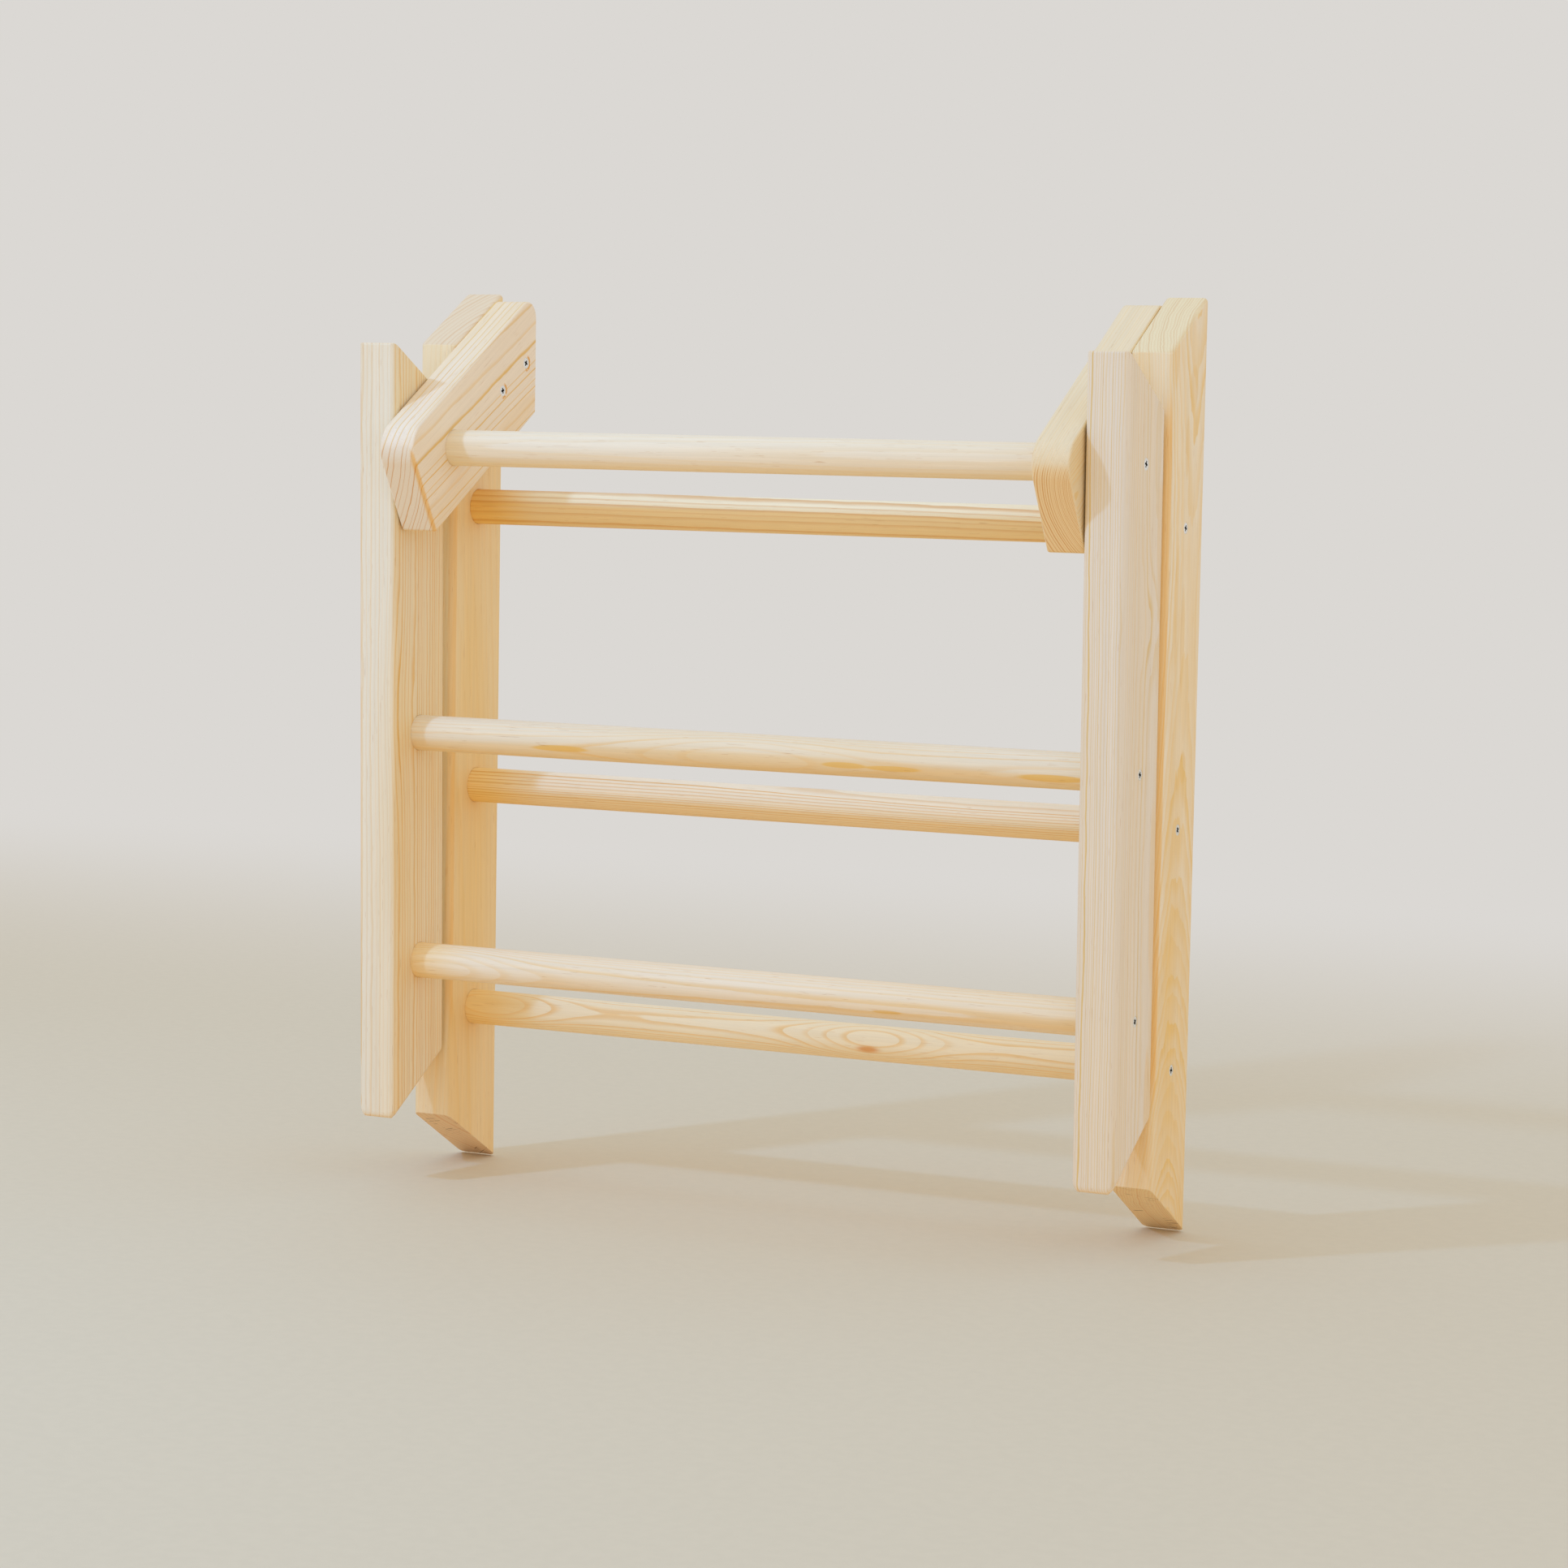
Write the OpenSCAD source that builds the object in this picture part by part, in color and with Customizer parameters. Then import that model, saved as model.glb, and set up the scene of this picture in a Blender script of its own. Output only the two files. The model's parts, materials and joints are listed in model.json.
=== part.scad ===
// Folding climbing triangle for small children.
// Two ladder frames of planed softwood boards and round rungs fold about the top rung.
// X runs along the rungs, +Y to the back, +Z up. The rear frame stands upright and the front frame
// hangs folded against it, as the triangle is stored. The origin is on the floor, under the middle
// of the folded object.

/* [Both frames] */
// Clear width between the two rear uprights
inner_w = 655; // [400:5:900]
// Height of the hinge above the floor when the triangle stands open
hinge_height = 506.5; // [440:0.5:700]
// Angle between the frames when the triangle stands open
open_angle = 60; // [54:1:66]
// Gap between the folded frames, front to back
frame_gap = 15; // [12:0.5:30]
// Angle past parallel at which the front frame hangs when folded
rest_lean = 0.9; // [0:0.1:0.9]

/* [Uprights] */
// Width of an upright, front to back
upright_w = 89; // [80:1:110]
// Thickness of an upright, side to side
upright_t = 38; // [30:1:50]
// Radius of the long eased edges of an upright
edge_r = 6; // [1:0.5:8]
// Slope of the rear uprights' top ends, rising to the back
rear_top_cut = 30; // [0:1:35]
// Radius of the top rear tip of a rear upright
rear_tip_r = 5; // [1:0.5:8]
// Radius of the top front tip of a front upright
front_tip_r = 1.5; // [0.5:0.5:5]
// Radius of the bottom front tip of a front upright
foot_tip_r = 4; // [1:0.5:8]

/* [Link boards] */
// Width of a link board across its slope
link_w = 97; // [85:1:110]
// Thickness of a link board
link_t = 34; // [25:1:45]
// Radius of the long eased edges of a link board
link_edge_r = 2; // [0.5:0.5:4]
// Slope of a link board, rising to the back
link_slope = 31; // [20:1:35]
// Length of a link board in front of the hinge, along its slope
link_nose = 66.5; // [50:0.5:90]
// Radius of the upper front corner of a link board
link_nose_r = 26; // [5:1:40]
// Radius of the lower front corner of a link board
link_chin_r = 4; // [1:0.5:10]
// Radius of the upper rear corner of a link board
link_rear_r = 15; // [4:1:30]
// Height of the rear uprights' sharp tips above the link boards' sharp upper rear corners
upright_rise = -1; // [-10:0.5:20]

/* [Rungs] */
// Diameter of a rung
rung_d = 32; // [25:1:40]
// Depth of the blind socket that holds a rung's end
socket_depth = 12; // [6:1:20]
// Drop from the hinge to the rear frame's upper rung
first_drop = 55; // [50:1:80]
// Distance down to the next rung in either frame
rung_pitch = 258.5; // [150:0.5:300]
// Distance down from there to the lowest rung in either frame
low_pitch = 208.5; // [100:0.5:250]

/* [Screws] */
// Shank diameter of a rung screw or link board screw
screw_d = 5; // [4:0.5:6]
// Head diameter of a rung screw or link board screw
screw_head_d = 10; // [8:0.5:12]
// Length of a rung screw
rung_screw_l = 70; // [50:5:90]
// Length of a link board screw
link_screw_l = 60; // [50:1:62]
// Distance of the front link board screw behind the hinge, along the slope
link_screw_near = 101; // [90:1:110]
// Distance between the two screws of a link board, along the slope
link_screw_pitch = 50; // [30:1:55]
// Shank diameter of a hinge screw
hinge_screw_d = 6; // [5:0.5:8]
// Head diameter of a hinge screw
hinge_head_d = 11; // [10:0.5:15]
// Length of a hinge screw
hinge_screw_l = 100; // [90:5:140]
// Length of a screw's point
point_l = 6; // [3:1:8]
// Diameter of the flat washer between a front upright and its link board
washer_d = 18; // [14:1:30]
// Thickness of that washer
washer_t = 1.5; // [1:0.1:3]
// Width of a slot of the cross recess in a screw head
recess_w = 1.3; // [1:0.1:1.6]
// Span of the cross recess as a share of the head's diameter
recess_share = 0.56; // [0.4:0.02:0.6]
// Depth of the cross recess
recess_depth = 1.6; // [1:0.1:2]

/* [Clearances] */
// Radial clearance of a rung's end in its socket
socket_gap = 0.1; // [0.05:0.05:0.3]
// Radial clearance of a screw in its hole
screw_gap = 0.05; // [0.02:0.01:0.1]
// Clearance between a hinge screw's head and its countersink
head_gap = 0.1; // [0.05:0.05:0.3]
// Play between a hinge washer and the front upright
washer_play = 0.1; // [0.05:0.05:0.5]
// Gap left where a front upright's top end meets the rear upright when open
stop_gap = 0.3; // [0.1:0.1:1]
// Room past a screw's point in its hole
point_gap = 0.5; // [0.2:0.1:2]

/* [Hidden] */
$fn = 96;
// Small overshoot that makes a cut pass cleanly through a face
cut = 1;

// Angle of the feet, so that they lie flat when the triangle stands open
foot_cut = open_angle / 2;
// Slope of a front upright's top end, which lies flat on the rear upright when open
stop_cut = 90 - open_angle;

// Distances from the middle to the inner faces of the rear uprights, the link boards and the front
// uprights, which stand outside the link boards and the hinge washers
rear_half = inner_w / 2;
link_half = rear_half - link_t;
front_half = rear_half + washer_t + washer_play;

// Heights and depths are first taken from the hinge, and placed on the floor by the last two values
half_w = upright_w / 2;
rear_front = half_w + frame_gap;
rear_mid = rear_front + half_w;
rear_back = rear_front + upright_w;
stop_r = rear_front - stop_gap;
front_tip = (stop_r + half_w * sin(stop_cut)) / cos(stop_cut);
front_foot = (hinge_height + half_w * sin(foot_cut)) / cos(foot_cut);
rear_foot = (hinge_height + rear_back * sin(foot_cut)) / cos(foot_cut);
link_back_top = (rear_back * sin(link_slope) + link_w / 2) / cos(link_slope);
rear_tip = link_back_top + upright_rise;
hinge_z = rear_foot;
foremost = (link_nose - link_nose_r) * cos(link_slope)
    + (link_w / 2 - link_nose_r) * sin(link_slope) + link_nose_r;
hinge_y = (foremost - rear_back) / 2;

rear_drops = [first_drop, first_drop + rung_pitch, first_drop + rung_pitch + low_pitch];
front_drops = [rung_pitch, rung_pitch + low_pitch];

light_wood = "#eadcc0";
warm_wood = "#e2c391";
zinc = "#c4c7ca";

// Unit vector from one point to another
function toward(a, b) = (b - a) / norm(b - a);

// Puts a shape that is modelled about the hinge in its place above the floor
module on_floor() {
    translate([0, hinge_y, hinge_z])
        children();
}

// Turns the front frame about the hinge to the angle at which it hangs
module hanging() {
    on_floor()
        rotate([rest_lean, 0, 0])
            children();
}

// A piece on the right hand side, or its mirror image on the left
module on_side(right) {
    mirror([right ? 0 : 1, 0, 0])
        children();
}

// Extrudes a side view, given as depth and height, from x to x + thick
module along_x(x, thick) {
    translate([x, 0, 0])
        rotate([90, 0, 90])
            linear_extrude(height = thick)
                children();
}

// A rectangle with round corners, centred
module round_rect(a, b, r) {
    square([a - 2 * r, b], center = true);
    square([a, b - 2 * r], center = true);
    for (i = [-1, 1], j = [-1, 1])
        translate([i * (a / 2 - r), j * (b / 2 - r)])
            circle(r = r);
}

// What is cut off to round a corner between the points before and after it
module corner_waste(before, corner, after, r) {
    u = toward(corner, before);
    v = toward(corner, after);
    half = acos(u * v) / 2;
    out = toward([0, 0], u + v);
    centre = corner + out * r / sin(half);
    reach = r / tan(half);
    difference() {
        polygon([corner - out * cut, corner + u * reach, centre, corner + v * reach]);
        translate(centre)
            circle(r = r);
    }
}

// A countersunk screw along +X, with the middle of its head's face at the origin
module screw(shank_d, head_d, length) {
    head_l = (head_d - shank_d) / 2;
    slot = head_d * recess_share;
    color(zinc)
        difference() {
            rotate([0, 90, 0]) {
                cylinder(h = head_l, d1 = head_d, d2 = shank_d);
                translate([0, 0, head_l])
                    cylinder(h = length - head_l - point_l, d = shank_d);
                translate([0, 0, length - point_l])
                    cylinder(h = point_l, d1 = shank_d, d2 = 0);
            }
            for (turn = [0, 90])
                rotate([turn, 0, 0])
                    translate([recess_depth / 2, 0, 0])
                        cube([recess_depth, recess_w, slot], center = true);
        }
}

// The hole for a screw along +X, from the face that its head is flush with
module screw_hole(shank_d, head_d, length, gap) {
    head_l = (head_d - shank_d) / 2;
    rotate([0, 90, 0]) {
        translate([0, 0, -cut])
            cylinder(h = cut + gap, d = head_d + 2 * gap);
        translate([0, 0, gap])
            cylinder(h = head_l, d1 = head_d + 2 * gap, d2 = shank_d + 2 * screw_gap);
        cylinder(h = length + point_gap, d = shank_d + 2 * screw_gap);
    }
}

// The pilot hole in both ends of a rung, for the part of a screw that reaches into it
module pilot_holes(half_l, shank_d, bite) {
    for (side = [-1, 1])
        translate([side * (half_l + cut / 2 - (bite + point_gap) / 2), 0, 0])
            rotate([0, 90, 0])
                cylinder(h = bite + point_gap + cut, d = shank_d + 2 * screw_gap, center = true);
}

// A rung centred on the hinge axis, moved back and down to its place in a frame
module rung(half_l, back, drop, shank_d, bite, tint) {
    color(tint)
        translate([0, back, -drop])
            difference() {
                rotate([0, 90, 0])
                    cylinder(h = 2 * half_l, d = rung_d, center = true);
                pilot_holes(half_l, shank_d, bite);
            }
}

// The rung sockets in an upright's inner face, each with the hole of its screw
module rung_seats(inner, back, drops) {
    for (drop = drops)
        translate([0, back, -drop]) {
            translate([inner - cut, 0, 0])
                rotate([0, 90, 0])
                    cylinder(h = socket_depth + cut, d = rung_d + 2 * socket_gap);
            outer_hole(inner + upright_t, screw_d, screw_head_d, rung_screw_l, screw_gap);
        }
}

// A screw hole that enters from the outer face at x
module outer_hole(x, shank_d, head_d, length, gap) {
    translate([x, 0, 0])
        mirror([1, 0, 0])
            screw_hole(shank_d, head_d, length, gap);
}

// The screws of a frame's rungs on one side, driven from the outer face
module rung_screws(inner, back, drops) {
    for (drop = drops)
        translate([inner + upright_t, back, -drop])
            mirror([1, 0, 0])
                screw(screw_d, screw_head_d, rung_screw_l);
}

// A board's full stock: its long eased edges, from the height low up to high
module upright_stock(inner, back, low, high) {
    translate([inner + upright_t / 2, back, low])
        linear_extrude(height = high - low)
            round_rect(upright_t, upright_w, edge_r);
}

module rear_side_view() {
    front_low = -rear_foot + upright_w * tan(foot_cut);
    front_high = rear_tip - upright_w * tan(rear_top_cut);
    front_top = [rear_front, front_high];
    tip = [rear_back, rear_tip];
    foot = [rear_back, -rear_foot];
    difference() {
        polygon([[rear_front, front_low], foot, tip, front_top]);
        corner_waste(foot, tip, front_top, rear_tip_r);
    }
}

module rear_upright(right) {
    on_floor()
        on_side(right)
            color(light_wood)
                difference() {
                    intersection() {
                        upright_stock(rear_half, rear_mid, -rear_foot, rear_tip);
                        along_x(rear_half - cut, upright_t + 2 * cut)
                            rear_side_view();
                    }
                    rung_seats(rear_half, rear_mid, rear_drops);
                    link_screw_holes();
                }
}

// The front upright's top end is flat from its tip to the point nearest the hinge. Behind that
// point it follows a circle about the hinge, so that the corner clears the rear upright as it turns.
module front_side_view() {
    tip = [-half_w, front_tip];
    foot = [-half_w, -front_foot];
    heel = [half_w, -front_foot + upright_w * tan(foot_cut)];
    back_top = [half_w, front_tip - upright_w * tan(stop_cut)];
    nearest = stop_r * [sin(stop_cut), cos(stop_cut)];
    turn_off = [half_w, sqrt(stop_r * stop_r - half_w * half_w)];
    difference() {
        polygon([foot, heel, back_top, tip]);
        corner_waste(foot, tip, back_top, front_tip_r);
        corner_waste(tip, foot, heel, foot_tip_r);
        difference() {
            polygon([nearest, back_top + [cut, cut], turn_off]);
            circle(r = stop_r);
        }
    }
}

module front_upright(right) {
    hanging()
        on_side(right)
            color(light_wood)
                difference() {
                    intersection() {
                        upright_stock(front_half, 0, -front_foot, front_tip);
                        along_x(front_half - cut, upright_t + 2 * cut)
                            front_side_view();
                    }
                    rung_seats(front_half, 0, front_drops);
                    outer_hole(front_half + upright_t, hinge_screw_d, hinge_head_d, hinge_screw_l, head_gap);
                }
}

// A link board's side view, with its length along the slope and the hinge at the origin
module link_side_view() {
    half = link_w / 2;
    front_low = [-link_nose, -half];
    front_high = [-link_nose, half];
    back_low = [(rear_back - half * sin(link_slope)) / cos(link_slope), -half];
    back_high = [(rear_back + half * sin(link_slope)) / cos(link_slope), half];
    difference() {
        polygon([front_low, back_low, back_high, front_high]);
        corner_waste(back_low, front_low, front_high, link_chin_r);
        corner_waste(front_low, front_high, back_high, link_nose_r);
        corner_waste(front_high, back_high, back_low, link_rear_r);
    }
}

// The link board's stock, with eased long edges, lying along the slope
module link_stock() {
    reach = (rear_back + link_w) / cos(link_slope);
    translate([link_half + link_t / 2, -link_nose, 0])
        rotate([-90, 0, 0])
            linear_extrude(height = link_nose + reach)
                round_rect(link_t, link_w, link_edge_r);
}

module link_board(right) {
    on_floor()
        on_side(right)
            color(warm_wood)
                difference() {
                    rotate([link_slope, 0, 0])
                        intersection() {
                            link_stock();
                            along_x(link_half - cut, link_t + 2 * cut)
                                link_side_view();
                        }
                    translate([link_half - cut, 0, 0])
                        rotate([0, 90, 0])
                            cylinder(h = socket_depth + cut, d = rung_d + 2 * socket_gap);
                    translate([link_half, 0, 0])
                        rotate([0, 90, 0])
                            cylinder(h = link_t + cut, d = hinge_screw_d + 2 * screw_gap);
                    link_screw_holes();
                }
}

// Places what is drawn along +X at both screws of a link board, from its inner face
module at_link_screws() {
    rotate([link_slope, 0, 0])
        for (i = [0, 1])
            translate([link_half, link_screw_near + i * link_screw_pitch, 0])
                children();
}

module link_screw_holes() {
    at_link_screws()
        screw_hole(screw_d, screw_head_d, link_screw_l, screw_gap);
}

module link_board_screws(right) {
    on_floor()
        on_side(right)
            at_link_screws()
                screw(screw_d, screw_head_d, link_screw_l);
}

module top_rung() {
    on_floor()
        rung(link_half + socket_depth, 0, 0, hinge_screw_d, top_bite(), light_wood);
}

// Length of a screw inside a rung's end
function bite() = rung_screw_l - (upright_t - socket_depth);
function top_bite() = hinge_screw_l - (front_half + upright_t - link_half - socket_depth);

module rear_rung(i, tint) {
    on_floor()
        rung(rear_half + socket_depth, rear_mid, rear_drops[i], screw_d, bite(), tint);
}

module front_rung(i, tint) {
    hanging()
        rung(front_half + socket_depth, 0, front_drops[i], screw_d, bite(), tint);
}

module rear_rung_screws(right) {
    on_floor()
        on_side(right)
            rung_screws(rear_half, rear_mid, rear_drops);
}

module front_rung_screws(right) {
    hanging()
        on_side(right)
            rung_screws(front_half, 0, front_drops);
}

// The hinge screw turns in the front upright and is fast in the link board and the top rung
module hinge_screw(right) {
    on_floor()
        on_side(right)
            translate([front_half + upright_t, 0, 0])
                mirror([1, 0, 0])
                    screw(hinge_screw_d, hinge_head_d, hinge_screw_l);
}

module hinge_washer(right) {
    on_floor()
        on_side(right)
            color(zinc)
                translate([rear_half, 0, 0])
                    rotate([0, 90, 0])
                        difference() {
                            cylinder(h = washer_t, d = washer_d);
                            translate([0, 0, -cut])
                                cylinder(h = washer_t + 2 * cut, d = hinge_screw_d + 2 * screw_gap);
                        }
}

rear_upright(false);  // rear_upright_left
rear_upright(true);  // rear_upright_right
front_upright(false);  // front_upright_left
front_upright(true);  // front_upright_right
link_board(false);  // link_board_left
link_board(true);  // link_board_right
top_rung();
rear_rung(0, warm_wood);  // rear_rung_upper
rear_rung(1, light_wood);  // rear_rung_middle
rear_rung(2, light_wood);  // rear_rung_lower
front_rung(0, light_wood);  // front_rung_upper
front_rung(1, light_wood);  // front_rung_lower
rear_rung_screws(false);  // rear_rung_screws_left
rear_rung_screws(true);  // rear_rung_screws_right
front_rung_screws(false);  // front_rung_screws_left
front_rung_screws(true);  // front_rung_screws_right
link_board_screws(false);  // link_board_screws_left
link_board_screws(true);  // link_board_screws_right
hinge_screw(false);  // hinge_screw_left
hinge_screw(true);  // hinge_screw_right
hinge_washer(false);  // hinge_washer_left
hinge_washer(true);  // hinge_washer_right
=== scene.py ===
"""Looks of a folding climbing triangle: pine boards, round rungs and countersunk zinc screws.

Every wooden piece is built in its own grain frame: X across its thickness, Y across its width and
Z along the grain. It is then put at its place, and its material turns points back into that frame.
There the growth rings of a round trunk are cut, so a face, an edge and an end of one board show
the same rings.
"""

import json
import math
from types import SimpleNamespace

import bmesh
import bpy
from mathutils import Matrix, Vector


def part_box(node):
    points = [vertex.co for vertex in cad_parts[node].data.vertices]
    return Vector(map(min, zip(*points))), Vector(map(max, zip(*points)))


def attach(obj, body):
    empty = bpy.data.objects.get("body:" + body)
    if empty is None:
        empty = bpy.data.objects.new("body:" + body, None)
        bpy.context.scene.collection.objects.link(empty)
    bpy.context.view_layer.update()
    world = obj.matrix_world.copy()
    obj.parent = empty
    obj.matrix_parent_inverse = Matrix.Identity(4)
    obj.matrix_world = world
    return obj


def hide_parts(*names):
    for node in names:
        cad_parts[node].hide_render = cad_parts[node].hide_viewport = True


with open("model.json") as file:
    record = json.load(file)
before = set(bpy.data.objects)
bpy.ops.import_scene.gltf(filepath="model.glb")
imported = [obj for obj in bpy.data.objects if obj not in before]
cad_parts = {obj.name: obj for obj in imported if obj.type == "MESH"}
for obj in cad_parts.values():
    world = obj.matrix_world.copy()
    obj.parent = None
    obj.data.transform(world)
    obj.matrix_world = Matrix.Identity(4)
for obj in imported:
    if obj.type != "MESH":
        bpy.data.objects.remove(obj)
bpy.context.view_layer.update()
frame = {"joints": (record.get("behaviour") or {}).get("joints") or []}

MM = 0.001

# Sizes of the pieces. Each end ease is a pair: towards the narrow faces, then the wide ones
UPRIGHT_T, UPRIGHT_W, UPRIGHT_EASE = 38 * MM, 89 * MM, 6 * MM
LINK_T, LINK_W, LINK_EASE = 34 * MM, 97 * MM, 2 * MM
LINK_NOSE, LINK_NOSE_R, LINK_CHIN_R = 66.5 * MM, 26 * MM, 4 * MM
LINK_REAR_R, LINK_TAIL_R = 15 * MM, 2.4 * MM
RUNG_R, RUNG_END_EASE = 16 * MM, 1 * MM
SOCKET_R, SOCKET_DEPTH, SOCKET_EASE = 16.1 * MM, 12 * MM, 0.3 * MM
END_EASE, TOP_EASE, FOOT_EASE = (0.7 * MM, 0.7 * MM), (1 * MM, 4 * MM), (2.2 * MM, 9.5 * MM)
REAR_TIP_R, FRONT_TIP_R, FOOT_TIP_R = 5 * MM, 1.5 * MM, 4 * MM
RING_R, RING_BORE_R, RING_T, RING_EASE = 9 * MM, 3.05 * MM, 1.5 * MM, 0.2 * MM

# Sizes of the screws. Where a share is given, it is a share of a radius or of the length
RUNG_SCREW = {"shank": 2.5 * MM, "head": 5 * MM, "length": 70 * MM}
LINK_SCREW = {"shank": 2.5 * MM, "head": 5 * MM, "length": 60 * MM}
HINGE_SCREW = {"shank": 3 * MM, "head": 5.5 * MM, "length": 100 * MM}
HEAD_RIM, POINT_L, POINT_SHARE, NECK_SHARE = 0.25 * MM, 6 * MM, 0.6, 0.4
THREAD_PITCH, THREAD_DEPTH, THREAD_SLOPE, THREAD_STEPS = 2.6 * MM, 0.8 * MM, 1.8, 8
RECESS_DEPTH, RECESS_ARM, RECESS_SHARE = 2.6 * MM, 0.6 * MM, 0.5
RECESS_TOP, RECESS_BOTTOM = (0.62, 1.7), (0.28, 1.0)  # an arm's half width and half thickness
FIRST_TURN, NEXT_TURN = 0.3, 0.7  # how the screws' crosses are turned, in radians
SCREW_PLAY, SINK = 0.05 * MM, 0.15 * MM

# How the meshes are made
CUT = 1 * MM  # how far a cutter reaches out of the wood
HAIR, MERGE = 0.01 * MM, 0.0001 * MM
RUNG_SIDES, RING_SIDES, HOLE_SIDES, SCREW_SIDES = 96, 64, 48, 24
SHARP_ANGLE = math.radians(32)

# Angles
END_CUT = math.radians(30)
LINK_SLOPE = math.radians(31)
LEAN = math.radians(0.9)

# Places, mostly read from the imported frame
HINGE = Vector(frame["joints"][0]["pos_m"])
REAR_LOW, REAR_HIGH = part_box("rear_upright_right")
FRONT_LOW, FRONT_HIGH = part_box("front_upright_right")
REAR_IN, REAR_OUT = REAR_LOW.x, REAR_HIGH.x
FRONT_IN, FRONT_OUT = FRONT_LOW.x, FRONT_HIGH.x
LINK_IN = REAR_IN - LINK_T
REAR_MID = (REAR_LOW.y + REAR_HIGH.y) / 2 - HINGE.y
REAR_BACK = REAR_HIGH.y - HINGE.y
REAR_TIP_Z = 815.4 * MM
FRONT_TIP_Z, FRONT_FOOT_Z = 94.05 * MM, -610.55 * MM
STOP_R = 59.2 * MM
REAR_DROPS = [55 * MM, 313.5 * MM, 522 * MM]
FRONT_DROPS = [258.5 * MM, 467 * MM]
LINK_SCREWS = [101 * MM, 151 * MM]

# The camera, fitted to the photograph's 1932 x 1932 pixels
PHOTO_SIZE = 1932
FOCAL_PX = 4959
SENSOR = 36
CAMERA_AT = Vector((1.54024, -3.17897, 0.71354))
YAW, PITCH, ROLL = math.radians(25.53), math.radians(5.37), math.radians(-1.02)

SIDES = {"left": -1, "right": 1}
REAR_PLACE = Matrix.Translation(HINGE)
FRONT_PLACE = Matrix.Translation(HINGE) @ Matrix.Rotation(LEAN, 4, "X")
ALONG_LINK = Matrix.Rotation(LINK_SLOPE - math.pi / 2, 4, "X")


# ---------------------------------------------------------------- meshes


def piece(name, verts, faces, place):
    """A new object from points and faces in their own frame, put at its place."""
    mesh = bpy.data.meshes.new(name)
    mesh.from_pydata(verts, [], faces)
    obj = bpy.data.objects.new(name, mesh)
    bpy.context.scene.collection.objects.link(obj)
    tidy_faces(obj)
    mesh.transform(place)
    return obj


def tidy_faces(obj):
    """Merges doubled points and turns all faces outwards."""
    work = bmesh.new()
    work.from_mesh(obj.data)
    bmesh.ops.remove_doubles(work, verts=work.verts, dist=MERGE)
    bmesh.ops.recalc_face_normals(work, faces=work.faces)
    work.to_mesh(obj.data)
    work.free()


def wrapped(rings, around, closed=False):
    """The faces between rings of points, each with the same number of points around."""
    faces = []
    for i in range(rings if closed else rings - 1):
        base, top = i * around, (i + 1) % rings * around
        for k in range(around):
            n = (k + 1) % around
            faces.append((base + k, base + n, top + n, top + k))
    return faces


def lathe(name, outline, place, sides, closed=False):
    """Turns an outline of (radius, height) points about Z. A closed one makes a ring."""
    verts = [
        (r * math.cos(a), r * math.sin(a), z)
        for r, z in outline
        for a in (math.tau * k / sides for k in range(sides))
    ]
    return piece(name, verts, wrapped(len(outline), sides, closed), place)


def drilled(obj, cutter):
    """Cuts one object out of another for good."""
    step = obj.modifiers.new("drill", "BOOLEAN")
    step.operation = "DIFFERENCE"
    step.solver = "EXACT"
    step.object = cutter
    bpy.context.view_layer.update()
    graph = bpy.context.evaluated_depsgraph_get()
    cut = bpy.data.meshes.new_from_object(obj.evaluated_get(graph))
    obj.modifiers.remove(step)
    obj.data = cut
    bpy.data.objects.remove(cutter)


def smoothed(obj):
    """Smooth shading that keeps flat faces flat and sharp edges sharp."""
    obj.data.shade_smooth()
    obj.data.set_sharp_from_angle(angle=SHARP_ANGLE)
    normals = obj.modifiers.new("normals", "WEIGHTED_NORMAL")
    normals.keep_sharp = True


def aimed(point, direction):
    """The frame whose Z runs along a direction from a point."""
    turn = Vector(direction).to_track_quat("Z", "Y").to_matrix().to_4x4()
    return Matrix.Translation(point) @ turn


def quarter(steps):
    """The angles of a quarter turn, both its ends included."""
    return [k * math.pi / 2 / steps for k in range(steps + 1)]


# ---------------------------------------------------------------- boards


def half_section(thick, wide, ease, steps=12, flat_steps=4):
    """The +X half of a board's section, from -Y to +Y: x, y and the outward direction.

    The flat has points only near its ends, where the slanted ends have their round tips.
    """
    cx, cy = thick / 2 - ease, wide / 2 - ease
    arcs = []
    for centre, start in ((-cy, -math.pi / 2), (cy, 0)):
        for turn in quarter(steps):
            nx, ny = math.cos(start + turn), math.sin(start + turn)
            arcs.append((cx + ease * nx, centre + ease * ny, nx, ny))
    last = STOP_R * math.sin(END_CUT)
    ys = [last + (cy - last) * k / flat_steps for k in range(flat_steps)]
    flat = [(thick / 2, y, 1, 0) for y in [-y for y in reversed(ys)] + ys]
    return arcs[: steps + 1] + flat + arcs[steps + 1 :]


def slanted(distance, cut, tip_r):
    """How far a slanted end has dropped at a distance from its tip, which is rounded."""
    if distance >= tip_r * (1 + math.sin(cut)):
        return distance * math.tan(cut)
    deep = tip_r * math.tan(cut) + tip_r / math.cos(cut)
    return deep - math.sqrt(max(0, tip_r**2 - (tip_r - distance) ** 2))


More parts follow.
